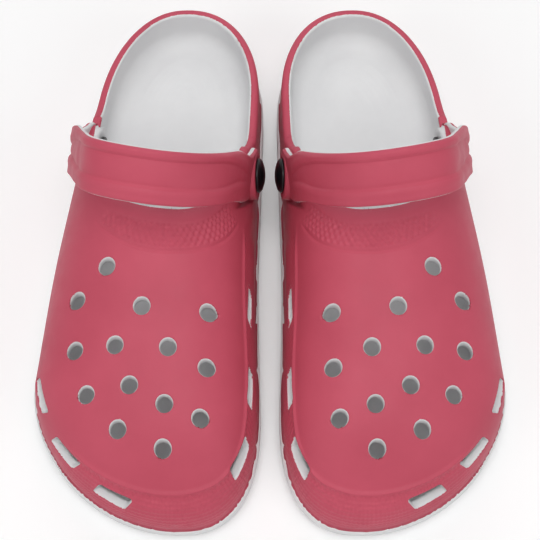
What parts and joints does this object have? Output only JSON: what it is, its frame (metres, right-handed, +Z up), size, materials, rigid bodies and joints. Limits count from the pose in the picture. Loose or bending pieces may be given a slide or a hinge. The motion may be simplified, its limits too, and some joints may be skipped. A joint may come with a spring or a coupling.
{
  "type": "garden clog",
  "caption": "Moulded foam garden clogs side by side, with vented uppers, side drain slots and heel straps that swing on round rivets.",
  "frame": {"origin": "on the ground under the pair, in the plane midway between the two clogs and at the middle of their length", "axes": "+X from the right clog to the left clog, +Y from toes to heels, +Z up; soles on z = 0"},
  "size_m": [0.239, 0.283, 0.139],
  "materials": {
    "white_foam": "satin closed-cell foam",
    "pink_layer": "satin",
    "black_rivet": "satin"
  },
  "bodies": {
    "right_clog": {"right_shell": "white_foam", "right_upper_skin": "pink_layer"},
    "right_strap": {"right_heel_strap": "white_foam", "right_strap_skin": "pink_layer", "right_medial_rivet_cap": "black_rivet", "right_lateral_rivet_cap": "black_rivet", "right_medial_rivet_stud": "black_rivet", "right_lateral_rivet_stud": "black_rivet"},
    "left_clog": {"left_shell": "white_foam", "left_upper_skin": "pink_layer"},
    "left_strap": {"left_heel_strap": "white_foam", "left_strap_skin": "pink_layer", "left_medial_rivet_cap": "black_rivet", "left_lateral_rivet_cap": "black_rivet", "left_medial_rivet_stud": "black_rivet", "left_lateral_rivet_stud": "black_rivet"}
  },
  "joints": [
    {"name": "right_strap_swing", "type": "hinge", "parent": "right_clog", "child": "right_strap", "pos_m": [-0.05165, 0.03875, 0.06], "axis": [-0.9839, 0.1788, 0], "range_deg": [0, 102.5]},
    {"name": "left_clog_apart", "type": "slide", "parent": "right_clog", "child": "left_clog", "axis": [1, 0, 0], "range_m": [0, 0.12]},
    {"name": "left_strap_swing", "type": "hinge", "parent": "left_clog", "child": "left_strap", "pos_m": [0.05165, 0.03875, 0.06], "axis": [-0.9839, -0.1788, 0], "range_deg": [0, 102.5]}
  ]
}
